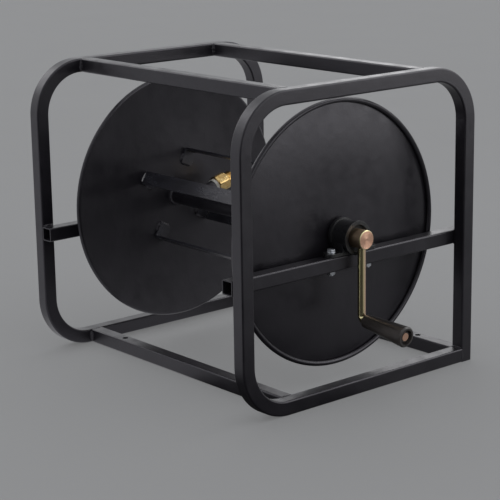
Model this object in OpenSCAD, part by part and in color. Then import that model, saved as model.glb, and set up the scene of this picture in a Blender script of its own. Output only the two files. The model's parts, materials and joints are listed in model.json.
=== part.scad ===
// Free-standing hose reel: two bent square-tube end frames joined by four
// cross bars carry a sheet-steel drum on two bearings. The crank is on the
// +X side, the water inlet with its swivel is on the -X side.
// The origin is on the floor, at the centre of the four bolt-down holes.

/* [Frame] */
// Overall width over the two end frames, along X
frame_w = 590; // [480:1:700]
// Overall depth of an end frame, along Y
frame_d = 540; // [520:1:640]
// Overall height of an end frame
frame_h = 540; // [520:1:640]
// Side of the square tube
tube = 25; // [20:1:30]
// Wall of the square tube
tube_wall = 2; // [1.5:0.1:3]
// Outside corner radius of the tube's section
tube_edge_r = 3; // [2.5:0.5:5]
// Outside radius of the bends in an end frame
bend_r = 98; // [80:1:120]
// Front face of the front cross bars, back from the front of the frame
front_bar_in = 100; // [90:1:130]
// Rear face of the top rear cross bar, in from the rear of the frame
top_rear_bar_in = 103; // [90:1:130]
// Rear face of the base rear cross bar, in from the rear of the frame
base_rear_bar_in = 7; // [0:1:20]
// Underside of the rails that carry the bearings
rail_z = 216; // [200:1:217]
// Distance between the bolt-down holes of one base bar
floor_hole_spacing = 360; // [300:1:420]
// Diameter of a bolt-down hole
floor_hole_d = 11; // [8:0.5:14]

/* [Drum] */
// Height of the axle over the floor
axle_z = 269; // [268:1:290]
// Middle of the drum, off the middle of the frame towards the crank
drum_shift = 7; // [-5:1:7]
// Outside diameter of a disc, over its curled rim
disc_d = 465; // [420:1:470]
// Clear width between the rims of the discs, where the hose winds
drum_w = 428; // [360:1:430]
// Depth of a disc's dish, from its rim out to its flat middle
dish = 8.5; // [2:0.5:9]
// Sheet thickness of a disc
disc_t = 1.5; // [1:0.1:2.5]
// Outside diameter of the curl at a disc's rim
curl_d = 9; // [8:1:14]
// Radius to the outer face of the drum bars
drum_r = 91; // [75:1:110]
// Width of a drum bar
drum_bar_w = 25; // [20:1:40]
// Thickness of a drum bar
drum_bar_t = 4; // [3:0.5:5]
// Length of the foot at each end of a drum bar
drum_foot = 30; // [20:1:34]
// Angle of the first drum bar, from +Y towards +Z
drum_bar_angle = 60; // [45:1:75]

/* [Axle and crank] */
// Diameter of the axle and its journals
axle_d = 33; // [30:1:36]
// Bore of the axle tube
axle_bore_d = 27; // [22:1:28]
// End of the crank shaft past the end frame
shaft_proud = 4.5; // [4:0.5:20]
// Diameter of the crank rod
rod_d = 14; // [8:1:15]
// Distance from the axle to the bend of the crank rod, between centre lines
crank_throw = 140; // [110:1:170]
// Bend radius of the crank rod, at its centre line
rod_bend_r = 8; // [8:1:20]
// Droop of the grip below level, in degrees
grip_droop = 5; // [0:1:10]
// Length of the grip
grip_len = 98; // [70:1:120]
// Diameter of the grip at its inner end
grip_inner_d = 24; // [18:1:28]
// Diameter of the grip at its outer end
grip_outer_d = 36; // [28:1:42]

/* [Bearings] */
// Length of a bearing housing along the axle
housing_len = 42; // [38:1:43]
// Diameter of the end rings of a housing
housing_d = 59; // [54:1:60]
// Distance between the two bolts of a housing
bearing_bolt_spacing = 85; // [80:1:100]
// Thickness of a housing's foot
foot_t = 6; // [4:1:10]
// Running clearance on the radius between a journal and its bush
running_gap = 0.05; // [0.02:0.01:0.1]

/* [Water way] */
// Outlet position along the axle
outlet_x = -165; // [-180:1:-120]
// Outlet direction, from +Y towards +Z
outlet_angle = 17; // [0:1:34]
// Outside diameter of the hose threads
hose_thread_d = 26.4; // [20:0.1:33]
// Length of the hose threads
hose_thread_len = 17; // [12:1:20]
// Bore of the water way in the fittings
water_d = 15; // [10:1:16]

/* [Hidden] */
$fn = 96;
eps = 0.01;                            // overlap that joins two solids of one piece
cut = 1;                               // a cutting solid runs this far past each face

powder_black = [0.10, 0.10, 0.11];
yellow_zinc = [0.72, 0.62, 0.36];
bright_zinc = [0.75, 0.77, 0.80];
brass_yellow = [0.80, 0.62, 0.28];
grip_black = [0.13, 0.12, 0.12];
cast_black = [0.08, 0.08, 0.08];
bush_black = [0.05, 0.05, 0.05];
seal_white = [0.88, 0.87, 0.83];

// Cross bars: centre lines in Y, with Y measured from the middle of the frame
front_bar_y = -frame_d/2 + front_bar_in + tube/2;
top_rear_bar_y = frame_d/2 - top_rear_bar_in - tube/2;
base_rear_bar_y = frame_d/2 - base_rear_bar_in - tube/2;
// Middle of the frame, seen from the centre of the bolt-down holes
frame_mid_y = -(front_bar_y + base_rear_bar_y)/2;

inner_x = frame_w/2 - tube;            // inner face of an end frame
rail_x = inner_x - tube/2;             // centre of a rail
rail_top = rail_z + tube;
bend_mid_r = bend_r - tube/2;

disc_x = drum_w/2;                     // inner face of a disc at its rim
hub_x = disc_x + dish;                 // inner face of a disc at its flat middle
hub_flat_r = drum_r + 10;
arc_sides = 1440;                      // sides of a full circle of the disc's long arc
curl_r = curl_d/2;
drum_bar_skew = [8, 0, 0, -2];         // how far off the even spacing each bar is welded
journal_r = axle_d/2;
journal_x = hub_x - 6;                 // end of the axle tube
spigot_len = 30;
shaft_end_x = frame_w/2 + shaft_proud;

housing_in_x = rail_x - housing_len/2;
housing_ring_w = 6;
housing_body_d = housing_d - 5;
housing_bore_d = 46;
bush_recess = 5;
foot_len = bearing_bolt_spacing + 30;
foot_w = 24;

bolt_d = 8;
bolt_hole_d = 8.5;
bolt_flats = 13;
bolt_head_h = 5.3;
bolt_head_turn = 20;
nut_h = 6.5;
nut_turn = 8;
bolt_washer_d = 16;
bolt_washer_t = 1.6;
bolt_tail = 2;

collar_d = 50;
collar_gap = 0.5;                      // end play of the drum at each bearing
collar_len = 14;
collar_x = -housing_in_x + collar_gap + collar_len/2;
screw_d = 6;
screw_key = 3;
screw_key_depth = 4;
screw_angle = 40;

rod_x = shaft_end_x - 12;
rod_socket = 20;
rod_journal_d = rod_d - 0.2;           // turned down a little where the grip runs
rod_step = 0.3;                        // the journal starts this far inside the bend's end
rod_corner_z = axle_z - crank_throw;
rod_turn = 90 - grip_droop;
rod_tangent = rod_bend_r*tan(rod_turn/2);
grip_start = rod_tangent + 1.5;        // these three are measured along the grip's axis,
grip_end = grip_start + grip_len;      // from where the rod's two centre lines cross
rod_end = grip_end - 3;
grip_edge = 3;
grip_recess_d = 25;
grip_recess = 8;
retainer_d = 18;
retainer_t = 4;

hex_flats = 34;
hex_len = 24;
stub_d = 26;
stub_end = 51;
socket_d = 20.9;
socket_len = 12;
washer_d = 28;
washer_t = 6;
thread_chamfer = 1.2;

spindle_x = -frame_w/2 + 1;            // shoulder where the spindle steps down
spindle_r = 12.5;
cross_hole_d = 8;
swivel_d = 44;
swivel_len = 48;
swivel_gap = 0.3;                      // end play of the swivel at each end
swivel_in_x = spindle_x - swivel_gap;
swivel_mid_x = swivel_in_x - swivel_len/2;
swivel_out_x = swivel_in_x - swivel_len;
swivel_chamfer = 2;
chamber_d = 32;
chamber_w = 14;
port_boss_d = 32;
port_boss_h = 32;
seal_offset = 18;
seal_w = 3;
seal_floor_r = 10.4;
clip_t = 1.5;
clip_floor_r = 11.3;
clip_opening = 7;
thrust_x = swivel_out_x - swivel_gap - clip_t;
clip_x = thrust_x - swivel_gap - clip_t;
spindle_end_x = clip_x - 6;

// Moves a part from the middle of the frame to the row's origin
module in_place() { translate([0, frame_mid_y, 0]) children(); }

// Same, with +Z turned onto the axle, which points along +X
module on_axle() { in_place() translate([0, 0, axle_z]) rotate([0, 90, 0]) children(); }

// Same, with X along the axle and the origin on it
module at_axle() { in_place() translate([0, 0, axle_z]) children(); }

module pipe(h, r_out, r_in) {
    difference() {
        cylinder(h = h, r = r_out);
        translate([0, 0, -cut]) cylinder(h = h + 2*cut, r = r_in);
    }
}

// A ring on the axle between two X positions
module axle_ring(x0, x1, r_out, r_in) {
    on_axle() translate([0, 0, x0]) pipe(x1 - x0, r_out, r_in);
}

// Hexagon with its top corners turned off at 30 degrees
module hexagon(flats, h) {
    top_d = 0.95*flats;
    intersection() {
        cylinder(h = h, d = flats/cos(30), $fn = 6);
        cylinder(h = h, d1 = top_d + 2*h/tan(30), d2 = top_d);
    }
}

module rounded_square(side, r) {
    square([side - 2*r, side], center = true);
    square([side, side - 2*r], center = true);
    for (x = [-1, 1], y = [-1, 1])
        translate([x*(side/2 - r), y*(side/2 - r)]) circle(r);
}

// Section of the square tube, with its corners rounded inside and outside
module tube_section() {
    difference() {
        rounded_square(tube, tube_edge_r);
        rounded_square(tube - 2*tube_wall, tube_edge_r - tube_wall + 0.2);
    }
}

module straight_tube(length) { linear_extrude(length) tube_section(); }

module tube_bend() { rotate_extrude(angle = 90) translate([bend_mid_r, 0]) tube_section(); }

// One end frame in its own plane, drawn with X for depth and Y for height
module end_frame_flat() {
    left = -frame_d/2 + bend_r;
    right = frame_d/2 - bend_r;
    top = frame_h - bend_r;
    translate([left, tube/2, 0]) rotate([0, 90, 0])
        straight_tube(frame_d/2 - tube + tube_wall - left);
    translate([left, bend_r, 0]) rotate([0, 0, 180]) tube_bend();
    translate([-frame_d/2 + tube/2, bend_r, 0]) rotate([-90, 0, 0]) straight_tube(top - bend_r);
    translate([left, top, 0]) rotate([0, 0, 90]) tube_bend();
    translate([left, frame_h - tube/2, 0]) rotate([0, 90, 0]) straight_tube(right - left);
    translate([right, top, 0]) tube_bend();
    translate([frame_d/2 - tube/2, 0, 0]) rotate([-90, 0, 0]) straight_tube(top);
}

module end_frame(side) {
    color(powder_black) in_place() translate([side*(inner_x + tube/2), 0, 0])
        rotate([90, 0, 90]) end_frame_flat();
}

module crank_end_frame() { end_frame(1); }
module inlet_end_frame() { end_frame(-1); }

// A cross bar between the inner faces of the end frames
module cross_bar(y, z) {
    color(powder_black) in_place() translate([-inner_x, y, z]) rotate([0, 90, 0])
        straight_tube(2*inner_x);
}

module top_front_bar() { cross_bar(front_bar_y, frame_h - tube/2); }
module top_rear_bar() { cross_bar(top_rear_bar_y, frame_h - tube/2); }

// A base bar has a bolt-down hole near each end, through both its walls
module base_bar(y) {
    difference() {
        cross_bar(y, tube/2);
        in_place() for (side = [-1, 1])
            translate([side*floor_hole_spacing/2, y, -cut])
                cylinder(h = tube + 2*cut, d = floor_hole_d);
    }
}

module base_front_bar() { color(powder_black) base_bar(front_bar_y); }
module base_rear_bar() { color(powder_black) base_bar(base_rear_bar_y); }

// A rail is lapped on the inner side of the posts and carries a bearing
module rail(side) {
    color(powder_black) in_place() difference() {
        translate([side*rail_x, -frame_d/2, rail_z + tube/2]) rotate([-90, 0, 0])
            straight_tube(frame_d);
        for (y = [-1, 1]) translate([side*rail_x, y*bearing_bolt_spacing/2, rail_z - cut])
            cylinder(h = tube + 2*cut, d = bolt_hole_d);
    }
}

module crank_side_rail() { rail(1); }
module inlet_side_rail() { rail(-1); }

// Bearing housing: a barrel with a ring at each end, on a foot with two bolts
module bearing(side) {
    ring_mid = (housing_len - housing_ring_w)/2;
    color(cast_black) difference() {
        union() {
            axle_ring(side*rail_x - housing_len/2, side*rail_x + housing_len/2,
                      housing_body_d/2, housing_bore_d/2);
            for (s = [-1, 1])
                axle_ring(side*rail_x + s*ring_mid - housing_ring_w/2,
                          side*rail_x + s*ring_mid + housing_ring_w/2,
                          housing_d/2, housing_bore_d/2);
            in_place() translate([side*rail_x, 0, rail_top]) {
                translate([-foot_w/2, -(foot_len - foot_w)/2, 0])
                    cube([foot_w, foot_len - foot_w, foot_t]);
                for (y = [-1, 1]) translate([0, y*(foot_len - foot_w)/2, 0])
                    cylinder(h = foot_t, d = foot_w);
                translate([-foot_w/2, -housing_body_d/2 + 1, 0])
                    cube([foot_w, housing_body_d - 2, axle_z - rail_top]);
            }
        }
        on_axle() translate([0, 0, side*rail_x - housing_len])
            cylinder(h = 2*housing_len, d = housing_bore_d);
        in_place() for (y = [-1, 1])
            translate([side*rail_x, y*bearing_bolt_spacing/2, rail_top - cut])
                cylinder(h = foot_t + 2*cut, d = bolt_hole_d);
    }
}

module crank_side_bearing() { bearing(1); }
module inlet_side_bearing() { bearing(-1); }

// Plain bush pressed into a housing and set back from both its faces
module bush(side) {
    half = housing_len/2 - bush_recess;
    color(bush_black) axle_ring(side*rail_x - half, side*rail_x + half,
                                housing_bore_d/2, journal_r + running_gap);
}

module crank_side_bush() { bush(1); }
module inlet_side_bush() { bush(-1); }

// Puts a fastener at each of the four bearing bolts
module at_bearing_bolts() {
    in_place() for (side = [-1, 1], y = [-1, 1])
        translate([side*rail_x, y*bearing_bolt_spacing/2, 0]) children();
}

module bearing_bolts() {
    head_z = rail_top + foot_t + bolt_washer_t;
    tail_z = rail_z - nut_h - bolt_tail;
    color(bright_zinc) at_bearing_bolts() {
        translate([0, 0, head_z]) rotate([0, 0, bolt_head_turn]) hexagon(bolt_flats, bolt_head_h);
        translate([0, 0, tail_z]) cylinder(h = head_z - tail_z + eps, d = bolt_d);
    }
}

// One washer under each bolt head, on the housing's foot
module bearing_washers() {
    color(bright_zinc) at_bearing_bolts() translate([0, 0, rail_top + foot_t])
        pipe(bolt_washer_t, bolt_washer_d/2, bolt_hole_d/2);
}

// Nuts straight on the underside of the rails
module bearing_nuts() {
    color(bright_zinc) at_bearing_bolts() translate([0, 0, rail_z]) mirror([0, 0, 1])
        difference() {
            rotate([0, 0, nut_turn]) hexagon(bolt_flats, nut_h);
            translate([0, 0, -cut]) cylinder(h = nut_h + 2*cut, d = bolt_d);
        }
}

// Disc section in radius and height: flat middle, arc down to the rim, three-quarter curl
module disc_section() {
    rim_r = disc_d/2 - curl_r;
    run = rim_r - hub_flat_r;
    arc_r = (run*run + dish*dish)/(2*dish);
    translate([journal_r, dish]) square([hub_flat_r - journal_r, disc_t]);
    intersection() {
        translate([hub_flat_r, dish - arc_r]) difference() {
            circle(arc_r + disc_t, $fn = arc_sides);
            circle(arc_r, $fn = arc_sides);
        }
        translate([hub_flat_r, -cut]) square([run, dish + disc_t + 2*cut]);
    }
    translate([rim_r, curl_r]) difference() {
        circle(curl_r);
        circle(curl_r - disc_t);
        translate([-2*curl_r, -2*curl_r]) square(2*curl_r);
    }
}

module disc() { on_axle() translate([0, 0, disc_x]) rotate_extrude() disc_section(); }

module crank_side_disc() { color(powder_black) translate([drum_shift, 0, 0]) disc(); }

module inlet_side_disc() {
    color(powder_black) translate([drum_shift, 0, 0]) mirror([1, 0, 0]) disc();
}

// Drum bar seen from its edge: a flat strip with both ends bent inwards
module drum_bar_edge() {
    bend = drum_bar_t + 2;
    translate([-hub_x + bend, drum_r - drum_bar_t]) square([2*(hub_x - bend), drum_bar_t]);
    for (side = [0, 1]) mirror([side, 0]) {
        translate([hub_x - bend, drum_r - bend]) intersection() {
            difference() { circle(bend); circle(bend - drum_bar_t); }
            square(bend);
        }
        translate([hub_x - drum_bar_t, drum_r - drum_foot])
            square([drum_bar_t, drum_foot - bend]);
    }
}

module drum_bar(number) {
    angle = drum_bar_angle + 90*(number - 1) + drum_bar_skew[number - 1];
    color(powder_black) at_axle() translate([drum_shift, 0, 0]) rotate([angle, 0, 0])
        translate([0, 0, -drum_bar_w/2]) linear_extrude(drum_bar_w) drum_bar_edge();
}

module drum_bar_1() { drum_bar(1); }
module drum_bar_2() { drum_bar(2); }
module drum_bar_3() { drum_bar(3); }
module drum_bar_4() { drum_bar(4); }

// Puts +Z along the outlet, with its origin on the axle
module along_outlet() {
    at_axle() translate([outlet_x, 0, 0]) rotate([outlet_angle - 90, 0, 0]) children();
}

module axle_tube() {
    color(powder_black) difference() {
        axle_ring(drum_shift - journal_x, drum_shift + journal_x, journal_r, axle_bore_d/2);
        along_outlet() cylinder(h = axle_d, d = water_d);
    }
}

// Solid shaft: spigot in the axle tube, journal, and a socket for the crank rod
module crank_shaft() {
    chamfer = 1;
    start_x = drum_shift + journal_x;
    color(yellow_zinc) difference() {
        on_axle() union() {
            translate([0, 0, start_x - spigot_len]) cylinder(h = spigot_len + eps, d = axle_bore_d);
            translate([0, 0, start_x]) cylinder(h = shaft_end_x - start_x - chamfer, r = journal_r);
            translate([0, 0, shaft_end_x - chamfer])
                cylinder(h = chamfer, r1 = journal_r, r2 = journal_r - chamfer);
        }
        at_axle() translate([rod_x, 0, -axle_d]) cylinder(h = axle_d - journal_r + rod_socket, d = rod_d);
    }
}

// Hollow spindle: spigot in the axle tube, journal, then the seat of the swivel
module inlet_spindle() {
    start_x = drum_shift - journal_x;
    blind_x = swivel_mid_x - cross_hole_d;
    color(yellow_zinc) difference() {
        on_axle() union() {
            translate([0, 0, start_x - eps]) cylinder(h = spigot_len + eps, d = axle_bore_d);
            translate([0, 0, spindle_x]) cylinder(h = start_x - spindle_x, r = journal_r);
            translate([0, 0, spindle_end_x])
                cylinder(h = spindle_x - spindle_end_x + eps, r = spindle_r);
        }
        on_axle() translate([0, 0, blind_x])
            cylinder(h = start_x + spigot_len - blind_x + cut, d = water_d);
        for (turn = [0, 90]) at_axle() translate([swivel_mid_x, 0, 0]) rotate([turn, 0, 0])
            translate([0, 0, -axle_d]) cylinder(h = 2*axle_d, d = cross_hole_d);
        for (s = [-1, 1])
            axle_ring(swivel_mid_x + s*seal_offset - seal_w/2, swivel_mid_x + s*seal_offset + seal_w/2,
                      axle_d, seal_floor_r);
        axle_ring(clip_x, clip_x + clip_t, axle_d, clip_floor_r);
    }
}

// Plain ring between the crank side disc and its bearing
module crank_side_spacer() {
    color(powder_black) axle_ring(drum_shift + hub_x + disc_t, housing_in_x - collar_gap,
                                  collar_d/2, journal_r);
}

// Puts +Z along the set screw, with its origin on the axle
module along_screw() { at_axle() translate([collar_x, 0, 0]) rotate([screw_angle, 0, 0]) children(); }

// Set collar between the inlet side disc and its bearing, with a tapped hole for its screw
module inlet_side_collar() {
    color(powder_black) difference() {
        axle_ring(collar_x - collar_len/2, collar_x + collar_len/2, collar_d/2, journal_r);
        along_screw() cylinder(h = collar_d, d = screw_d);
    }
}

// Socket set screw of the collar, just below its surface
module collar_screw() {
    screw_len = (collar_d - axle_d)/2 - 0.5;
    color(bright_zinc) along_screw() translate([0, 0, journal_r]) difference() {
        cylinder(h = screw_len, d = screw_d);
        translate([0, 0, screw_len - screw_key_depth])
            cylinder(h = screw_len, d = screw_key/cos(30), $fn = 6);
    }
}

// Puts +Z along the grip, with its origin where the rod's two centre lines cross
module along_grip() {
    in_place() translate([rod_x, 0, rod_corner_z]) rotate([0, 90 + grip_droop, 0]) children();
}

// Crank rod: down from the shaft, one tight bend, then a journal out along the grip
module crank_rod() {
    bend_z = rod_corner_z + rod_tangent;
    color(yellow_zinc) {
        in_place() translate([rod_x, 0, bend_z])
            cylinder(h = axle_z - journal_r + rod_socket - bend_z, d = rod_d);
        in_place() translate([rod_x + rod_bend_r, 0, bend_z]) rotate([90, 0, 0]) rotate([0, 0, 180])
            rotate_extrude(angle = rod_turn) translate([rod_bend_r, 0]) circle(d = rod_d);
        along_grip() translate([0, 0, rod_tangent - rod_step])
            cylinder(h = rod_end - rod_tangent + rod_step, d = rod_journal_d);
    }
}

// Push-on ring that keeps the grip on the rod
module grip_retainer() {
    color(grip_black) along_grip() translate([0, 0, rod_end - 1 - retainer_t])
        pipe(retainer_t, retainer_d/2, rod_journal_d/2);
}

// Tapered grip that turns on the rod, with bevelled ends and a recess
module crank_grip() {
    ri = grip_inner_d/2;
    ro = grip_outer_d/2;
    color(grip_black) along_grip() translate([0, 0, grip_start]) difference() {
        union() {
            cylinder(h = grip_edge, r1 = ri - 2, r2 = ri);
            translate([0, 0, grip_edge]) cylinder(h = grip_len - 2*grip_edge, r1 = ri, r2 = ro);
            translate([0, 0, grip_len - grip_edge]) cylinder(h = grip_edge, r1 = ro, r2 = ro - 2.5);
        }
        translate([0, 0, -cut]) cylinder(h = grip_len + 2*cut, r = rod_journal_d/2 + running_gap);
        translate([0, 0, grip_len - grip_recess]) cylinder(h = grip_recess + cut, d = grip_recess_d);
    }
}

// Welded nipple, cut to the axle tube at its root and tapped at its mouth
module outlet_stub() {
    color(powder_black) difference() {
        along_outlet() difference() {
            pipe(stub_end, stub_d/2, water_d/2);
            translate([0, 0, stub_end - socket_len]) cylinder(h = socket_len + cut, d = socket_d);
        }
        on_axle() translate([0, 0, outlet_x - stub_d]) cylinder(h = 2*stub_d, r = journal_r);
    }
}

module sealing_washer() { color(seal_white) pipe(washer_t, washer_d/2, socket_d/2); }

module outlet_washer() { along_outlet() translate([0, 0, stub_end]) sealing_washer(); }

// Hose fitting from its washer upwards: tapped end below, hexagon, hose thread
module hose_fitting() {
    plug_len = washer_t + socket_len - 1;
    color(brass_yellow) difference() {
        union() {
            translate([0, 0, -plug_len]) cylinder(h = plug_len + eps, d = socket_d);
            intersection() {
                hexagon(hex_flats, hex_len);
                mirror([0, 0, 1]) translate([0, 0, -hex_len]) hexagon(hex_flats, hex_len);
            }
            translate([0, 0, hex_len - eps])
                cylinder(h = hose_thread_len - thread_chamfer + eps, d = hose_thread_d);
            translate([0, 0, hex_len + hose_thread_len - thread_chamfer])
                cylinder(h = thread_chamfer, d1 = hose_thread_d, d2 = hose_thread_d - 2*thread_chamfer);
        }
        translate([0, 0, -plug_len - cut])
            cylinder(h = plug_len + hex_len + hose_thread_len + 2*cut, d = water_d);
    }
}

module outlet_fitting() { along_outlet() translate([0, 0, stub_end + washer_t]) hose_fitting(); }

// Puts +Z along the inlet, which hangs straight down below the axle
module along_inlet() { at_axle() translate([swivel_mid_x, 0, 0]) rotate([180, 0, 0]) children(); }

// Swivel housing: barrel round the spindle with a water chamber, and a port below
module swivel_body() {
    small_d = swivel_d - 2*swivel_chamfer;
    color(brass_yellow) difference() {
        union() {
            on_axle() translate([0, 0, swivel_out_x + swivel_chamfer])
                cylinder(h = swivel_len - 2*swivel_chamfer, d = swivel_d);
            on_axle() translate([0, 0, swivel_out_x])
                cylinder(h = swivel_chamfer, d1 = small_d, d2 = swivel_d);
            on_axle() translate([0, 0, swivel_in_x - swivel_chamfer])
                cylinder(h = swivel_chamfer, d1 = swivel_d, d2 = small_d);
            along_inlet() cylinder(h = port_boss_h, d = port_boss_d);
        }
        on_axle() translate([0, 0, swivel_out_x - cut])
            cylinder(h = swivel_len + 2*cut, r = spindle_r + running_gap);
        on_axle() translate([0, 0, swivel_mid_x - chamber_w/2])
            cylinder(h = chamber_w, d = chamber_d);
        along_inlet() translate([0, 0, spindle_r]) cylinder(h = port_boss_h, d = socket_d);
    }
}

// Two seal rings in the spindle's grooves, one on each side of the chamber
module swivel_seals() {
    color(bush_black) for (s = [-1, 1])
        axle_ring(swivel_mid_x + s*seal_offset - seal_w/2, swivel_mid_x + s*seal_offset + seal_w/2,
                  spindle_r, seal_floor_r);
}

module swivel_thrust_washer() {
    color(bright_zinc) axle_ring(thrust_x, thrust_x + clip_t, spindle_r + 5, spindle_r + running_gap);
}

// Open retaining ring, with its gap at the top
module swivel_circlip() {
    color(bright_zinc) difference() {
        axle_ring(clip_x, clip_x + clip_t, spindle_r + 2.5, clip_floor_r);
        at_axle() translate([clip_x - cut, -clip_opening/2, 0])
            cube([clip_t + 2*cut, clip_opening, axle_d]);
    }
}

module inlet_washer() { along_inlet() translate([0, 0, port_boss_h]) sealing_washer(); }
module inlet_fitting() { along_inlet() translate([0, 0, port_boss_h + washer_t]) hose_fitting(); }

crank_end_frame();
inlet_end_frame();
top_front_bar();
top_rear_bar();
base_front_bar();
base_rear_bar();
crank_side_rail();
inlet_side_rail();
crank_side_bearing();
inlet_side_bearing();
crank_side_bush();
inlet_side_bush();
bearing_bolts();
bearing_washers();
bearing_nuts();
crank_side_disc();
inlet_side_disc();
drum_bar_1();
drum_bar_2();
drum_bar_3();
drum_bar_4();
axle_tube();
crank_shaft();
inlet_spindle();
crank_side_spacer();
inlet_side_collar();
collar_screw();
crank_rod();
grip_retainer();
crank_grip();
outlet_stub();
outlet_washer();
outlet_fitting();
swivel_body();
swivel_seals();
swivel_thrust_washer();
swivel_circlip();
inlet_washer();
inlet_fitting();
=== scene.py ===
import json
import math

import bmesh
import bpy
from mathutils import Matrix, Vector, noise


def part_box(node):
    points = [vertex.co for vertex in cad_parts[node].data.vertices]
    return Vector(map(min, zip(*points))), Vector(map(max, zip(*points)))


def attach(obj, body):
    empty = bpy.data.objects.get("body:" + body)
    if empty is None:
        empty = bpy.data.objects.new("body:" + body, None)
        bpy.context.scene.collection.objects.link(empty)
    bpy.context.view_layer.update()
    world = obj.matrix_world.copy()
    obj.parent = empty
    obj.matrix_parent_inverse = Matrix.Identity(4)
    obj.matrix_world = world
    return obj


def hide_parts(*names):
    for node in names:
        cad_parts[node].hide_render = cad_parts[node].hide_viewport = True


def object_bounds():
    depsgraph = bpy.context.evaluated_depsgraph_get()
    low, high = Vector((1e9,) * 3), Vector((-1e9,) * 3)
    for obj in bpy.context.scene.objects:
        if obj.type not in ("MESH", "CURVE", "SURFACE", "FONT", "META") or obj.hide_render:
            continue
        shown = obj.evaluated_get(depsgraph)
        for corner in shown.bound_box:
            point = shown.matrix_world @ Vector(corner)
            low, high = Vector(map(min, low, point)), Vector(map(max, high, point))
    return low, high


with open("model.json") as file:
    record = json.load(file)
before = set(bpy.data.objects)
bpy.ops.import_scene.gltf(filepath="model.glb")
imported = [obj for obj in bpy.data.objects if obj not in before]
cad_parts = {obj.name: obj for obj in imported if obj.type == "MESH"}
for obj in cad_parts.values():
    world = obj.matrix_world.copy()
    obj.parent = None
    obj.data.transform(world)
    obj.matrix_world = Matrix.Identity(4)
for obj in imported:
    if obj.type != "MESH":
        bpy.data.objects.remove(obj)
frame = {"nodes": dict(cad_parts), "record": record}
cad_low, cad_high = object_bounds()

# Camera: a long lens at bench height, off the front corner on the crank side,
# looking slightly down along the reel.
camera_place = Vector((2.2155, -1.9285, 0.9193))
camera_heading = 2.438
camera_dip = -0.243
camera_tilt = -0.016
camera_lens = 118.65

looking = Vector((
    math.cos(camera_dip) * math.cos(camera_heading),
    math.cos(camera_dip) * math.sin(camera_heading),
    math.sin(camera_dip),
))
level = looking.cross(Vector((0, 0, 1))).normalized()
rise = level.cross(looking)
right = math.cos(camera_tilt) * level + math.sin(camera_tilt) * rise
upward = right.cross(looking)

camera_data = bpy.data.cameras.new("camera")
camera_data.lens = camera_lens
camera_data.clip_end = 100
camera = bpy.data.objects.new("camera", camera_data)
camera_turn = Matrix((right, upward, -looking)).transposed().to_4x4()
camera.matrix_world = Matrix.Translation(camera_place) @ camera_turn
bpy.context.scene.collection.objects.link(camera)
bpy.context.scene.camera = camera
bpy.context.scene.view_settings.view_transform = "Standard"


# Floor: one wide grey translucent board that glows a little, as if lit from below, so that the reel throws
# only faint shadows on it. What the paint and metal mirror of it carries a painted reflection: brighter
# towards the front on the inlet side, and a painted shade that dims it in the front crank corner.
def add_mesh(name, vertices, faces, material, sharp_angle=35):
    mesh = bpy.data.meshes.new(name)
    mesh.from_pydata(vertices, [], faces)
    mesh.validate()
    shape = bmesh.new()
    shape.from_mesh(mesh)
    bmesh.ops.recalc_face_normals(shape, faces=shape.faces)
    shape.to_mesh(mesh)
    shape.free()
    for face in mesh.polygons:
        face.use_smooth = True
    mesh.set_sharp_from_angle(angle=math.radians(sharp_angle))
    mesh.materials.append(material)
    thing = bpy.data.objects.new(name, mesh)
    bpy.context.scene.collection.objects.link(thing)
    return thing


def start_finish(name, colour, metallic, roughness, specular=0.5):
    material = bpy.data.materials.new(name)
    material.use_nodes = True
    shader = material.node_tree.nodes["Principled BSDF"]
    shader.inputs["Base Color"].default_value = (*colour, 1)
    shader.inputs["Metallic"].default_value = metallic
    shader.inputs["Roughness"].default_value = roughness
    shader.inputs["Specular IOR Level"].default_value = specular
    return material, shader


def add_node(material, kind, **values):
    node = material.node_tree.nodes.new(kind)
    for key, value in values.items():
        setattr(node, key, value)
    return node


def grain(material, scale, detail=2.0, stretch=(1, 1, 1)):
    """Noise over the piece's own place in metres; scale counts grains in a metre."""
    place = add_node(material, "ShaderNodeTexCoord")
    squeeze = add_node(material, "ShaderNodeMapping")
    squeeze.inputs["Scale"].default_value = stretch
    texture = add_node(material, "ShaderNodeTexNoise")
    texture.inputs["Scale"].default_value = scale
    texture.inputs["Detail"].default_value = detail
    links = material.node_tree.links
    links.new(place.outputs["Object"], squeeze.inputs["Vector"])
    links.new(squeeze.outputs["Vector"], texture.inputs["Vector"])
    return texture.outputs["Fac"]


def feed(material, source, shader, entry):
    """Joins a socket to the named entry of a shader."""
    material.node_tree.links.new(source, shader.inputs[entry])


def spread(material, source, low, high, start=0.3, stop=0.7):
    """Maps a socket's values between start and stop onto the range from low to high."""
    remap = add_node(material, "ShaderNodeMapRange")
    remap.inputs["From Min"].default_value = start
    remap.inputs["From Max"].default_value = stop
    remap.inputs["To Min"].default_value = low
    remap.inputs["To Max"].default_value = high
    material.node_tree.links.new(source, remap.inputs["Value"])
    return remap.outputs["Result"]


def tint(material, factor, first, second):
    """Mixes two colours, or colour sockets, by a factor socket."""
    mixer = add_node(material, "ShaderNodeMix", data_type="RGBA")
    links = material.node_tree.links
    links.new(factor, mixer.inputs["Factor"])
    for place, colour in (("A", first), ("B", second)):
        socket = [s for s in mixer.inputs if s.name == place and s.type == "RGBA"][0]
        if isinstance(colour, tuple):
            socket.default_value = (*colour, 1)
        else:
            links.new(colour, socket)
    return [s for s in mixer.outputs if s.type == "RGBA"][0]


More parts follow.
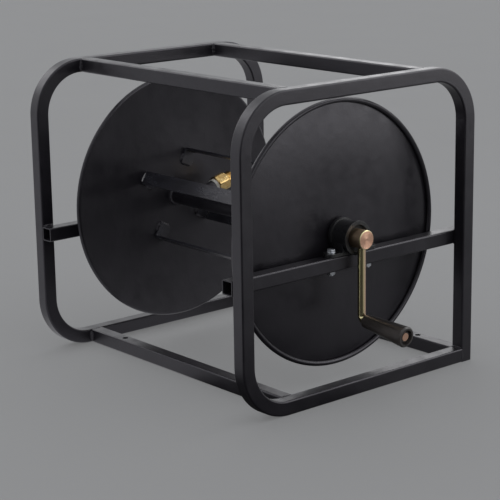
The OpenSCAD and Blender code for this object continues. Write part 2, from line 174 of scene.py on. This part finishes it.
def relief(material, shader, *layers, edge=0.0):
    """Stacks bump layers, each (height socket, depth in metres), under the shader's
    normal; edge rounds the sharp edges off to that radius first."""
    links = material.node_tree.links
    below = None
    if edge:
        rounding = add_node(material, "ShaderNodeBevel", samples=4)
        rounding.inputs["Radius"].default_value = edge
        below = rounding.outputs["Normal"]
    for height, depth in layers:
        bump = add_node(material, "ShaderNodeBump")
        bump.inputs["Strength"].default_value = 1
        bump.inputs["Distance"].default_value = depth
        links.new(height, bump.inputs["Height"])
        if below:
            links.new(below, bump.inputs["Normal"])
        below = bump.outputs["Normal"]
    links.new(below, shader.inputs["Normal"])


floor_radius = 30
floor_sides = 96
floor_paint, floor_shader = start_finish("floor_paint", (0.17, 0.171, 0.174), 0, 0.8, 0.1)
floor_mottle = spread(floor_paint, grain(floor_paint, 3, 3), 0, 1)
floor_tone = tint(floor_paint, floor_mottle, (0.168, 0.169, 0.172), (0.172, 0.173, 0.176))
floor_glow = (0.123, 0.124, 0.125)
# Colours of the painted reflection, seen in glossy rays only: a brighter glow, and a painted shade that
# dims the glow and the floor's colour.
floor_glow_lit = (0.47, 0.47, 0.49)
floor_glow_dim = (0.004, 0.004, 0.004)
floor_reflection_shade = (0.02, 0.02, 0.02)
lit_side = (-0.75, -0.66, 0)
dim_side = (0.76, -0.65, 0)
mirrored = add_node(floor_paint, "ShaderNodeLightPath").outputs["Is Glossy Ray"]


def toward(way, start, stop):
    """How far a place on the floor lies toward a way, seen from the reel, in reflections."""
    place = add_node(floor_paint, "ShaderNodeTexCoord")
    heading = add_node(floor_paint, "ShaderNodeVectorMath", operation="NORMALIZE")
    along = add_node(floor_paint, "ShaderNodeVectorMath", operation="DOT_PRODUCT")
    along.inputs[1].default_value = way
    kept = add_node(floor_paint, "ShaderNodeMath", operation="MULTIPLY")
    links = floor_paint.node_tree.links
    links.new(place.outputs["Object"], heading.inputs[0])
    links.new(heading.outputs[0], along.inputs[0])
    links.new(spread(floor_paint, along.outputs["Value"], 0, 1, start, stop), kept.inputs[0])
    links.new(mirrored, kept.inputs[1])
    return kept.outputs[0]


# Painted reflection: in glossy rays only, the floor's glow is raised toward lit_side, and a painted shade
# darkens its glow and colour toward dim_side.
lit_part = toward(lit_side, 0.2, 0.8)
dim_part = toward(dim_side, 0.70, 0.92)
floor_light = tint(floor_paint, lit_part, floor_glow, floor_glow_lit)
floor_light = tint(floor_paint, dim_part, floor_light, floor_glow_dim)
floor_tone = tint(floor_paint, dim_part, floor_tone, floor_reflection_shade)
feed(floor_paint, floor_tone, floor_shader, "Base Color")
feed(floor_paint, floor_light, floor_shader, "Emission Color")
floor_shader.inputs["Emission Strength"].default_value = 1
floor_rim = []
for i in range(floor_sides):
    angle = math.tau * i / floor_sides
    floor_rim.append((floor_radius * math.cos(angle), floor_radius * math.sin(angle), 0))
floor = add_mesh("floor", floor_rim, [tuple(range(floor_sides))], floor_paint)

# Light: an even white room with one dim corner that only reflections see, and
# soft panels that show as sheens in the black paint and the metal.
room_light = (0.80, 0.81, 0.83)
room_dim = (0.15, 0.15, 0.16)
dim_corner = (0.739, -0.629, 0.240)
room = bpy.data.worlds.new("room")
room.use_nodes = True
bpy.context.scene.world = room
room_way = add_node(room, "ShaderNodeTexCoord")
room_ray = add_node(room, "ShaderNodeLightPath")
room_aim = add_node(room, "ShaderNodeVectorMath", operation="DOT_PRODUCT")
room_aim.inputs[1].default_value = dim_corner
room_seen = add_node(room, "ShaderNodeMath", operation="MULTIPLY")
room_links = room.node_tree.links
room_links.new(room_way.outputs["Generated"], room_aim.inputs[0])
room_links.new(spread(room, room_aim.outputs["Value"], 0, 1, 0.80, 0.97), room_seen.inputs[0])
room_links.new(room_ray.outputs["Is Glossy Ray"], room_seen.inputs[1])
room_tone = tint(room, room_seen.outputs[0], room_light, room_dim)
feed(room, room_tone, room.node_tree.nodes["Background"], "Color")


def add_panel(name, place, target, size, glow):
    lamp = bpy.data.lights.new(name, "AREA")
    lamp.shape = "RECTANGLE"
    lamp.size = size[0]
    lamp.size_y = size[1]
    lamp.energy = glow * math.pi * size[0] * size[1]
    holder = bpy.data.objects.new(name, lamp)
    holder.location = place
    holder.rotation_mode = "QUATERNION"
    holder.rotation_quaternion = (Vector(target) - Vector(place)).to_track_quat("-Z", "Y")
    holder.visible_camera = False
    holder.visible_diffuse = False
    bpy.context.scene.collection.objects.link(holder)


add_panel("panel_far_crank_side", (1.35, 1.05, 0.75), (0.25, 0, 0.45), (1.6, 0.9), 1.6)
add_panel("panel_far_inlet_side", (-1.35, 1.8, 1.15), (0.2, 0, 0.5), (0.9, 0.8), 1.5)
add_panel("panel_overhead_rear", (0.6, 1.6, 1.95), (0, 0, 0.3), (1.6, 1.2), 2.2)
add_panel("panel_overhead_front", (-1.9, -0.65, 1.75), (0, 0, 0.4), (1.3, 1.2), 2.0)


# Frame: square steel tube, cut, bent and welded, then powder coated satin
# black all over. Each end frame is one bent tube, the rest is straight tube.
def use_finish(nodes, material):
    for node in nodes:
        for slot in frame["nodes"][node].material_slots:
            slot.material = material


powder_coat, coat_shader = start_finish("powder_coat", (0.007, 0.0068, 0.008), 0, 0.36, 0.5)
coat_cloud = spread(powder_coat, grain(powder_coat, 9, 4), 0, 1)
coat_tone = tint(powder_coat, coat_cloud, (0.0058, 0.0052, 0.0070), (0.0095, 0.0086, 0.0112))
coat_dust = spread(powder_coat, grain(powder_coat, 2600, 1), 0, 1, 0.70, 0.78)
coat_tone = tint(powder_coat, coat_dust, coat_tone, (0.05, 0.05, 0.052))
feed(powder_coat, coat_tone, coat_shader, "Base Color")
coat_gloss = spread(powder_coat, grain(powder_coat, 35, 5), 0.29, 0.42)
coat_shader.inputs["Specular Tint"].default_value = (0.95, 0.92, 1.0, 1)
feed(powder_coat, coat_gloss, coat_shader, "Roughness")
relief(
    powder_coat,
    coat_shader,
    (grain(powder_coat, 60, 2), 0.00025),
    (grain(powder_coat, 450, 2), 0.00010),
    (grain(powder_coat, 2200, 1), 0.00002),
)

end_frames = ["crank_end_frame", "inlet_end_frame"]
top_bars = ["top_front_bar", "top_rear_bar"]
base_bars = ["base_front_bar", "base_rear_bar"]
rails = ["crank_side_rail", "inlet_side_rail"]
use_finish(end_frames + top_bars + base_bars + rails, powder_coat)

# Frame welds: beads laid by hand in short runs, a fillet on both sides of every
# cross bar, a pad over each flush joint, and laps above and below the rails.
bead_step = 0.0008
bead_pitch = 0.0026
bead_leg = 0.0034
seam_leg = 0.0046
crown_leg = 0.0036
corner_pad_leg = 0.003
pad_depth = 0.0012
lap_inset = 0.002
post_foot_inset = 0.003
post_head_inset = 0.001
bead_lumps = ((150, 0.32), (600, 0.12))

fillet_from = -8
fillet_to = 98
fillet_steps = 8
fillet_swell = 0.22
fillet_root = (-0.12, -0.12)
fillet = []
for i in range(fillet_steps + 1):
    angle = math.radians(fillet_from + (fillet_to - fillet_from) * i / fillet_steps)
    swell = 1 + fillet_swell * math.sin(2 * angle)
    chord = math.cos(angle) + math.sin(angle)
    fillet.append((math.cos(angle) * swell / chord, math.sin(angle) * swell / chord))
fillet.append(fillet_root)

pad_sides = 12
pad_height = 0.55
pad = []
for i in range(pad_sides):
    angle = math.tau * i / pad_sides
    pad.append((math.cos(angle), pad_height * math.sin(angle)))


def lay_bead(weld, run, outline, leg, seed, closed=False):
    """Adds one bead to weld, a pair of vertex and face lists. A run lists where it
    goes: corner points, each with the directions of the bead's two legs."""
    vertices, faces = weld
    stations = []
    for (p, a, b), (q, c, d) in zip(run, run[1:]):
        count = max(1, round((q - p).length / bead_step))
        for i in range(count):
            t = i / count
            stations.append((p.lerp(q, t), a.lerp(c, t), b.lerp(d, t)))
    if not closed:
        stations.append(run[-1])
    length = bead_step * (len(stations) - 1)
    taper_length = 1.5 * leg
    first = len(vertices)
    for index, (place, a, b) in enumerate(stations):
        gone = index * bead_step
        taper = 1
        if not closed:
            taper = 0.4 + 0.6 * math.sqrt(min(1, gone / taper_length, (length - gone) / taper_length))
        spot = place + Vector((seed * 0.37, seed * 0.11, 0))
        lump = 1
        for fineness, height in bead_lumps:
            lump += height * noise.noise(spot * fineness)
        for u, v in outline:
            scallop = abs(math.sin(math.pi * (gone / bead_pitch + 0.4 * u * v)))
            vertices.append(place + (a * u + b * v) * (leg * taper * lump * (0.9 + 0.13 * scallop)))
    around = len(outline)
    last = len(stations) if closed else len(stations) - 1
    for ring in range(last):
        here = first + ring * around
        there = first + (ring + 1) % len(stations) * around
        for k in range(around):
            n = (k + 1) % around
            faces.append((here + k, here + n, there + n, there + k))
    if not closed:
        faces.append(tuple(range(first + around - 1, first - 1, -1)))
        faces.append(tuple(range(first + last * around, first + (last + 1) * around)))


def add_piece(name, vertices, faces, material, body, slot):
    piece = add_mesh(name, vertices, faces, material)
    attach(piece, body)
    return piece


across = Vector((1, 0, 0))
deep = Vector((0, 1, 0))
tall = Vector((0, 0, 1))
tube_corner = 0.0025
top_limit = cad_high[2] - 0.0002
crown_drop = 0.0030

for bar in top_bars + base_bars:
    bar_low, bar_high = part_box(bar)
    seam_weld = ([], [])
    for side in (-1, 1):
        joint_x = side * bar_high[0]
        for face_y, out in ((bar_low[1], -deep), (bar_high[1], deep)):
            foot = Vector((joint_x, face_y, bar_low[2] + tube_corner))
            head = Vector((joint_x, face_y, bar_high[2] - tube_corner))
            seam = [(end, -side * across, out) for end in (foot, head)]
            lay_bead(seam_weld, seam, fillet, seam_leg, joint_x)
        crown_x = joint_x + side * pad_depth
        crown_z = min(bar_high[2] - pad_depth, top_limit - crown_drop)
        near_end = Vector((crown_x, bar_low[1] + tube_corner, crown_z))
        far_end = Vector((crown_x, bar_high[1] - tube_corner, crown_z))
        crown = [(end, across, tall) for end in (near_end, far_end)]
        lay_bead(seam_weld, crown, pad, crown_leg, joint_x + 1)
    add_piece(bar + "_welds", *seam_weld, powder_coat, "frame", "powder_coat")

tube_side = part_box("top_front_bar")[1][2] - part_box("top_front_bar")[0][2]
for rail in rails:
    rail_low, rail_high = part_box(rail)
    side = 1 if rail_high[0] > 0 else -1
    lap_x = side * max(abs(rail_low[0]), abs(rail_high[0]))
    lap_weld = ([], [])
    for outer_y, inward in ((rail_low[1], 1), (rail_high[1], -1)):
        for edge_z, up in ((rail_high[2], tall), (rail_low[2], -tall)):
            start = Vector((lap_x, outer_y + inward * lap_inset, edge_z))
            stop = Vector((lap_x, outer_y + inward * (tube_side - lap_inset), edge_z))
            lap = [(end, up, -side * across) for end in (start, stop)]
            lay_bead(lap_weld, lap, fillet, bead_leg, edge_z)
    add_piece(rail + "_welds", *lap_weld, powder_coat, "frame", "powder_coat")

for end_frame in end_frames:
    frame_low, frame_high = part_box(end_frame)
    post_y = frame_high[1] - tube_side
    corner_weld = ([], [])
    start = Vector((frame_low[0] + tube_corner, post_y, tube_side))
    stop = Vector((frame_high[0] - tube_corner, post_y, tube_side))
    lay_bead(corner_weld, [(end, -deep, tall) for end in (start, stop)], fillet, bead_leg, 5)
    for face_x, out in ((frame_low[0], -1), (frame_high[0], 1)):
        pad_x = face_x - out * pad_depth
        foot = Vector((pad_x, post_y + pad_depth, post_foot_inset))
        head = Vector((pad_x, post_y + pad_depth, tube_side - post_head_inset))
        seam = [(end, deep, out * across) for end in (foot, head)]
        lay_bead(corner_weld, seam, pad, corner_pad_leg, face_x)
    add_piece(end_frame + "_welds", *corner_weld, powder_coat, "frame", "powder_coat")

# Bearings: cast housings with a rough sand-cast skin under black paint, and a
# black nylon bush pressed into each.
cast_black, cast_shader = start_finish("cast_black", (0.007, 0.007, 0.008), 0, 0.35, 0.6)
cast_gloss = spread(cast_black, grain(cast_black, 120, 3), 0.26, 0.42)
feed(cast_black, cast_gloss, cast_shader, "Roughness")
relief(
    cast_black,
    cast_shader,
    (grain(cast_black, 260, 2), 0.00035),
    (grain(cast_black, 1100, 3), 0.00016),
    edge=0.0012,
)
use_finish(["crank_side_bearing", "inlet_side_bearing"], cast_black)

nylon, nylon_shader = start_finish("bush_nylon", (0.005, 0.005, 0.005), 0, 0.55, 0.3)
feed(nylon, spread(nylon, grain(nylon, 300, 2), 0.48, 0.62), nylon_shader, "Roughness")
relief(nylon, nylon_shader, (grain(nylon, 500, 2), 0.00004))
use_finish(["crank_side_bush", "inlet_side_bush"], nylon)

# Fasteners: hexagon bolts, nuts and washers of the bearings, the collar's set
# screw, and the swivel's washer and circlip, all in bright zinc dulled a little
# where they have been handled.
bright_zinc, zinc_shader = start_finish("bright_zinc", (0.62, 0.64, 0.67), 1, 0.3)
zinc_cloud = spread(bright_zinc, grain(bright_zinc, 260, 4), 0, 1)
zinc_tone = tint(bright_zinc, zinc_cloud, (0.50, 0.53, 0.58), (0.72, 0.73, 0.74))
feed(bright_zinc, zinc_tone, zinc_shader, "Base Color")
feed(bright_zinc, spread(bright_zinc, zinc_cloud, 0.4, 0.24, 0, 1), zinc_shader, "Roughness")
relief(bright_zinc, zinc_shader, (grain(bright_zinc, 1500, 3), 0.00003), edge=0.0004)
use_finish(["bearing_bolts", "bearing_washers", "bearing_nuts", "collar_screw"], bright_zinc)
use_finish(["swivel_thrust_washer", "swivel_circlip"], bright_zinc)

# Drum: two pressed and curled steel discs, four bent flat bars and the axle
# tube between them, welded up and given the same powder coat as the frame,
# which came out thinner and cloudier on the bars.
drum_bars = ["drum_bar_1", "drum_bar_2", "drum_bar_3", "drum_bar_4"]
discs = ["crank_side_disc", "inlet_side_disc"]
use_finish(discs + ["axle_tube", "crank_side_spacer", "inlet_side_collar", "outlet_stub"], powder_coat)

bar_coat, bar_shader = start_finish("bar_coat", (0.010, 0.010, 0.013), 0, 0.3, 0.6)
bar_cloud = spread(bar_coat, grain(bar_coat, 60, 5, (0.4, 1, 1)), 0, 1)
bar_tone = tint(bar_coat, bar_cloud, (0.008, 0.0076, 0.010), (0.026, 0.026, 0.032))
feed(bar_coat, bar_tone, bar_shader, "Base Color")
feed(bar_coat, spread(bar_coat, bar_cloud, 0.36, 0.24, 0, 1), bar_shader, "Roughness")
bar_shader.inputs["Specular Tint"].default_value = (0.95, 0.93, 1.0, 1)
relief(bar_coat, bar_shader, (grain(bar_coat, 70, 3), 0.0003), (grain(bar_coat, 700, 3), 0.00012))
use_finish(drum_bars, bar_coat)

axle_low, axle_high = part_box("axle_tube")
axle_y = (axle_low[1] + axle_high[1]) / 2
axle_z = (axle_low[2] + axle_high[2]) / 2
axle_radius = (axle_high[2] - axle_low[2]) / 2
hub_faces = (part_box("drum_bar_1")[0][0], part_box("drum_bar_1")[1][0])


def on_drum(x, radius, angle, aside=0.0):
    """A point on the drum: radius and angle about the axle, and a step sideways."""
    return Vector((
        x,
        axle_y + radius * math.cos(angle) - aside * math.sin(angle),
        axle_z + radius * math.sin(angle) + aside * math.cos(angle),
    ))


# Drum welds: a short bead along the end and both edges of every bar's foot, and a full ring where the axle
# tube meets each disc. The lump at each bar's heel, and a tack on the axle tube's ring, are given a bare
# grey steel finish that is partly a painted highlight on these welds.
# Bare grey weld steel on the heel and tack welds, partly a painted highlight: its lighter metal stands in
# for the highlights on these welds.
weld_steel_and_highlight, weld_shader = start_finish("weld_steel_and_highlight", (0.40, 0.40, 0.41), 1, 0.4)
weld_cloud = spread(weld_steel_and_highlight, grain(weld_steel_and_highlight, 380, 3), 0, 1)
weld_tone_and_highlight = tint(weld_steel_and_highlight, weld_cloud, (0.16, 0.16, 0.165), (0.52, 0.52, 0.53))
feed(weld_steel_and_highlight, weld_tone_and_highlight, weld_shader, "Base Color")
feed(weld_steel_and_highlight, spread(weld_steel_and_highlight, weld_cloud, 0.55, 0.32, 0, 1), weld_shader, "Roughness")
relief(weld_steel_and_highlight, weld_shader, (grain(weld_steel_and_highlight, 900, 2), 0.0001))

foot_inner = 0.061
foot_seam_end = 0.078
heel_radius = 0.0855
heel_leg = 0.0058
bar_half = 0.0125
foot_inset = 0.001
heel_inset = 0.003
for bar in drum_bars:
    bar_low, bar_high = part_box(bar)
    bar_angle = math.atan2((bar_low[2] + bar_high[2]) / 2 - axle_z, (bar_low[1] + bar_high[1]) / 2 - axle_y)
    outward = Vector((0, math.cos(bar_angle), math.sin(bar_angle)))
    sideways = Vector((0, -math.sin(bar_angle), math.cos(bar_angle)))
    foot_weld = ([], [])
    heel_weld = ([], [])
    for hub_x, along in zip(hub_faces, (across, -across)):
        ends = [on_drum(hub_x, foot_inner, bar_angle, s * (bar_half - foot_inset)) for s in (-1, 1)]
        lay_bead(foot_weld, [(p, -outward, along) for p in ends], fillet, bead_leg, hub_x + bar_angle)
        for s in (-1, 1):
            reaches = (foot_inner + foot_inset, foot_seam_end)
            edge = [on_drum(hub_x, r, bar_angle, s * bar_half) for r in reaches]
            lay_bead(foot_weld, [(p, s * sideways, along) for p in edge], fillet, bead_leg, hub_x + s)
        heel = [on_drum(hub_x, heel_radius, bar_angle, s * (bar_half - heel_inset)) for s in (-1, 1)]
        lay_bead(heel_weld, [(p, outward, along) for p in heel], fillet, heel_leg, hub_x - bar_angle)
    add_piece(bar + "_welds", *foot_weld, powder_coat, "drum", "powder_coat")
    add_piece(bar + "_heel_welds", *heel_weld, weld_steel_and_highlight, "drum", "bright_zinc")

ring_reach = 1.7
ring_leg = 0.004
ring_steps = 48
ring_weld = ([], [])
for hub_x, along in zip(hub_faces, (across, -across)):
    hub_ring = []
    for i in range(ring_steps + 1):
        angle = math.tau * i / ring_steps
        outward = Vector((0, math.cos(angle), math.sin(angle)))
        hub_ring.append((on_drum(hub_x, axle_radius, angle), outward, along * ring_reach))
    lay_bead(ring_weld, hub_ring, fillet, ring_leg, hub_x, closed=True)
add_piece("axle_tube_welds", *ring_weld, powder_coat, "drum", "powder_coat")

tack_from = 168
tack_to = 182
tack_leg = 0.0052
tack_lift = 0.0004
tack_weld = ([], [])
for hub_x, along in zip(hub_faces, (across, -across)):
    tack = []
    for angle in (math.radians(tack_from), math.radians(tack_to)):
        outward = Vector((0, math.cos(angle), math.sin(angle)))
        spot = on_drum(hub_x, axle_radius + tack_lift, angle) + along * tack_lift
        tack.append((spot, outward, along))
    lay_bead(tack_weld, tack, fillet, tack_leg, hub_x + 2)
add_piece("axle_tube_tacks", *tack_weld, weld_steel_and_highlight, "drum", "bright_zinc")

# Shafts and crank rod: turned steel, zinc plated and passivated yellow, which leaves greenish gold on the
# sides and a coppery bloom on the sawn ends. Painted highlights are laid over this: a cream ring on the
# chamfer at each shaft end, and on the crank rod greenish gold on sides facing -Y and pink on sides facing
# +Y.
def about_axle(material):
    """Sockets for the place along X and for the distance from the axle, in metres."""
    links = material.node_tree.links
    place = add_node(material, "ShaderNodeTexCoord")
    shift = add_node(material, "ShaderNodeVectorMath", operation="SUBTRACT")
    shift.inputs[1].default_value = (0, axle_y, axle_z)
    split = add_node(material, "ShaderNodeSeparateXYZ")
    flat = add_node(material, "ShaderNodeVectorMath", operation="MULTIPLY")
    flat.inputs[1].default_value = (0, 1, 1)
    reach = add_node(material, "ShaderNodeVectorMath", operation="LENGTH")
    links.new(place.outputs["Object"], shift.inputs[0])
    links.new(shift.outputs[0], split.inputs[0])
    links.new(shift.outputs[0], flat.inputs[0])
    links.new(flat.outputs[0], reach.inputs[0])
    return split.outputs["X"], reach.outputs["Value"]


def wave(material, source, pitch):
    """A sine of a length socket that repeats every pitch metres."""
    turns = add_node(material, "ShaderNodeMath", operation="MULTIPLY")
    turns.inputs[1].default_value = math.tau / pitch
    sine = add_node(material, "ShaderNodeMath", operation="SINE")
    links = material.node_tree.links
    links.new(source, turns.inputs[0])
    links.new(turns.outputs[0], sine.inputs[0])
    return sine.outputs[0]


shaft_zinc, shaft_shader = start_finish("shaft_zinc", (0.55, 0.47, 0.22), 1, 0.30)
shaft_x, shaft_reach = about_axle(shaft_zinc)
shaft_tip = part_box("crank_shaft")[1][0]
shaft_cloud = spread(shaft_zinc, grain(shaft_zinc, 90, 3), 0, 1)
shaft_side = tint(shaft_zinc, shaft_cloud, (0.74, 0.54, 0.36), (0.90, 0.68, 0.46))
shaft_face = tint(shaft_zinc, shaft_cloud, (0.62, 0.36, 0.25), (0.72, 0.45, 0.32))
# Painted highlight: a cream ring round the rim of each shaft end, standing in for the light its chamfer
# catches.
chamfer_start = 0.0013
chamfer_stop = 0.0009
past_shoulder = spread(shaft_zinc, shaft_x, 0, 1, shaft_tip - chamfer_start, shaft_tip - chamfer_stop)
inside_chamfer = spread(
    shaft_zinc, shaft_reach, 1, 0, axle_radius - chamfer_start, axle_radius - chamfer_stop
)
shaft_ends_and_chamfer_highlight = tint(shaft_zinc, inside_chamfer, (0.80, 0.74, 0.42), shaft_face)
shaft_tone = tint(shaft_zinc, past_shoulder, shaft_side, shaft_ends_and_chamfer_highlight)
feed(shaft_zinc, shaft_tone, shaft_shader, "Base Color")
relief(
    shaft_zinc,
    shaft_shader,
    (wave(shaft_zinc, shaft_reach, 0.0016), 0.00006),
    (wave(shaft_zinc, shaft_x, 0.0009), 0.00002),
    (grain(shaft_zinc, 1200, 2), 0.00003),
)
use_finish(["crank_shaft", "inlet_spindle"], shaft_zinc)

rod_zinc, rod_shader = start_finish("rod_zinc", (0.60, 0.52, 0.26), 1, 0.17)
rod_place = add_node(rod_zinc, "ShaderNodeTexCoord")
rod_facing = add_node(rod_zinc, "ShaderNodeSeparateXYZ")
rod_zinc.node_tree.links.new(rod_place.outputs["Normal"], rod_facing.inputs[0])
# Painted highlights: the rod's colour follows which way each side faces, greenish gold on sides facing -Y
# and pink on sides facing +Y.
rod_side_highlight_mask = spread(rod_zinc, rod_facing.outputs["Y"], 0, 1, -0.6, 0.4)
rod_cloud = spread(rod_zinc, grain(rod_zinc, 70, 3, (1, 1, 0.25)), 0, 1)
rod_green_highlight = tint(rod_zinc, rod_cloud, (0.86, 0.80, 0.42), (0.92, 0.80, 0.48))
rod_pink_highlight = tint(rod_zinc, rod_cloud, (0.92, 0.56, 0.42), (0.86, 0.64, 0.46))
rod_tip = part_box("crank_rod")[1][0]
rod_face_start = 0.0018
rod_face_stop = 0.0014
rod_along = add_node(rod_zinc, "ShaderNodeSeparateXYZ")
rod_zinc.node_tree.links.new(rod_place.outputs["Object"], rod_along.inputs[0])
at_rod_end = spread(
    rod_zinc, rod_along.outputs["X"], 0, 1, rod_tip - rod_face_start, rod_tip - rod_face_stop
)
rod_tone = tint(rod_zinc, rod_side_highlight_mask, rod_green_highlight, rod_pink_highlight)
rod_tone = tint(rod_zinc, at_rod_end, rod_tone, (0.74, 0.46, 0.33))
feed(rod_zinc, rod_tone, rod_shader, "Base Color")
relief(rod_zinc, rod_shader, (grain(rod_zinc, 900, 2, (1, 1, 0.2)), 0.00004))
use_finish(["crank_rod"], rod_zinc)

# Grip: black moulded plastic, tapered, with a fine drawn grain along it and a
# greyish bloom from handling.
grip_plastic, grip_shader = start_finish("grip_plastic", (0.012, 0.011, 0.0105), 0, 0.38)
grip_bloom = spread(grip_plastic, grain(grip_plastic, 55, 4, (0.25, 1, 1)), 0, 1)
grip_tone = tint(grip_plastic, grip_bloom, (0.009, 0.0080, 0.0075), (0.050, 0.043, 0.040))
feed(grip_plastic, grip_tone, grip_shader, "Base Color")
feed(grip_plastic, spread(grip_plastic, grip_bloom, 0.28, 0.48, 0, 1), grip_shader, "Roughness")
relief(
    grip_plastic,
    grip_shader,
    (grain(grip_plastic, 500, 3, (0.08, 1, 1)), 0.00012),
    (grain(grip_plastic, 1600, 2), 0.00003),
)
use_finish(["crank_grip", "grip_retainer"], grip_plastic)

# Water way: brass hose fittings machined from bar, each with a hexagon for the
# spanner and a real helical thread, screwed down on a thick pale washer.
brass, brass_shader = start_finish("hose_brass", (0.80, 0.56, 0.22), 1, 0.2)
brass_cloud = spread(brass, grain(brass, 120, 3), 0, 1)
brass_tone = tint(brass, brass_cloud, (0.52, 0.33, 0.12), (0.80, 0.60, 0.28))
feed(brass, brass_tone, brass_shader, "Base Color")
feed(brass, spread(brass, brass_cloud, 0.3, 0.16, 0, 1), brass_shader, "Roughness")
relief(brass, brass_shader, (grain(brass, 1500, 2), 0.00003))
use_finish(["swivel_body"], brass)

hex_half = 0.017
hex_length = 0.024
hex_crown = 0.0162
hex_chamfer = 0.0018
hex_chamfer_slope = 0.577
chamfer_steps = 6
plug_radius = 0.01045
plug_length = 0.017
bore_radius = 0.0075
bore_chamfer = 0.0006
thread_pitch = 0.0022
thread_length = 0.017
thread_crest = 0.0132
thread_root = 0.0121
thread_lead_in = 0.0012
thread_steps = 62
fitting_sides = 120


def hexagon_reach(angle, chamfer_reach):
    in_flat = (angle + math.pi / 6) % (math.pi / 3) - math.pi / 6
    return min(hex_half / math.cos(in_flat), chamfer_reach)


def thread_reach(angle, height):
    turn = (height / thread_pitch - angle / math.tau) % 1
    crest = min(1, max(0, 0.5 + 0.85 * math.cos(math.tau * turn)))
    fade = min(1, height / thread_pitch, (thread_length - thread_lead_in - height) / thread_pitch)
    return thread_root + (thread_crest - thread_root) * crest * max(0, fade)


def add_fitting(name, node, mount, body):
    middle = Vector(mount["pos_m"])
    axis = Vector(mount["axis"])
    base = middle - axis * (hex_length + mount["dims"]["length_mm"] / 2000)
    turn = axis.to_track_quat("Z", "Y").to_matrix()
    rings = []

    def add_ring(height, reach):
        ring = []
        for i in range(fitting_sides):
            angle = math.tau * i / fitting_sides
            r = reach(angle)
            ring.append(base + turn @ Vector((r * math.cos(angle), r * math.sin(angle), height)))
        rings.append(ring)

    add_ring(-plug_length, lambda angle: bore_radius)
    add_ring(-plug_length, lambda angle: plug_radius)
    add_ring(0, lambda angle: plug_radius)
    for i in range(chamfer_steps + 1):
        drop = hex_chamfer * i / chamfer_steps
        height = hex_chamfer_slope * drop
        add_ring(height, lambda angle: hexagon_reach(angle, hex_crown + drop))
    for i in range(chamfer_steps + 1):
        drop = hex_chamfer * (1 - i / chamfer_steps)
        height = hex_length - hex_chamfer_slope * drop
        add_ring(height, lambda angle: hexagon_reach(angle, hex_crown + drop))
    for i in range(thread_steps + 1):
        height = (thread_length - thread_lead_in) * i / thread_steps
        add_ring(hex_length + height, lambda angle: thread_reach(angle, height))
    add_ring(hex_length + thread_length, lambda angle: thread_root - thread_lead_in)
    add_ring(hex_length + thread_length, lambda angle: bore_radius + bore_chamfer)
    add_ring(hex_length + thread_length - bore_chamfer, lambda angle: bore_radius)

    vertices = [v for ring in rings for v in ring]
    faces = []
    for r in range(len(rings)):
        here = r * fitting_sides
        there = (r + 1) % len(rings) * fitting_sides
        for k in range(fitting_sides):
            n = (k + 1) % fitting_sides
            faces.append((here + k, here + n, there + n, there + k))
    piece = add_piece(name, vertices, faces, brass, body, "hose_brass")
    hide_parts(node)


mounts = {mount["name"]: mount for mount in frame["record"]["mounts"]}
add_fitting("outlet_hose_fitting", "outlet_fitting", mounts["outlet_thread"], "drum")
add_fitting("inlet_hose_fitting", "inlet_fitting", mounts["inlet_thread"], "swivel")

# Outlet weld: one bead laid round the root of the nipple, up and down over the
# curve of the axle tube, and powder coated with the rest of the drum.
stub_radius = 0.013
saddle_leg = 0.0036
outlet_mount = mounts["outlet_thread"]
outlet_way = Vector(outlet_mount["axis"])
outlet_aside = outlet_way.cross(across)
saddle = []
for i in range(ring_steps + 1):
    angle = math.tau * i / ring_steps
    off = stub_radius * math.sin(angle)
    rise_here = math.sqrt(axle_radius ** 2 - off ** 2)
    spot = Vector((outlet_mount["pos_m"][0], axle_y, axle_z)) + outlet_way * rise_here
    spot += across * (stub_radius * math.cos(angle)) + outlet_aside * off
    outward = (across * math.cos(angle) + outlet_aside * math.sin(angle)).normalized()
    saddle.append((spot, outlet_way, outward))
saddle_weld = ([], [])
lay_bead(saddle_weld, saddle, fillet, saddle_leg, 3, closed=True)
add_piece("outlet_stub_weld", *saddle_weld, powder_coat, "drum", "powder_coat")

# Seals: thick pale fibre washers pressed between the fittings and their seats,
# and black rubber rings in the grooves of the inlet spindle.
fibre, fibre_shader = start_finish("seal_fibre", (0.72, 0.70, 0.64), 0, 0.7, 0.3)
fibre_cloud = spread(fibre, grain(fibre, 260, 4), 0, 1)
fibre_tone = tint(fibre, fibre_cloud, (0.58, 0.56, 0.50), (0.78, 0.77, 0.72))
feed(fibre, fibre_tone, fibre_shader, "Base Color")
relief(fibre, fibre_shader, (grain(fibre, 900, 3), 0.00008))
use_finish(["outlet_washer", "inlet_washer"], fibre)

rubber, rubber_shader = start_finish("seal_rubber", (0.01, 0.01, 0.01), 0, 0.6)
feed(rubber, spread(rubber, grain(rubber, 400, 2), 0.52, 0.66), rubber_shader, "Roughness")
relief(rubber, rubber_shader, (grain(rubber, 900, 3), 0.00003))
use_finish(["swivel_seals"], rubber)
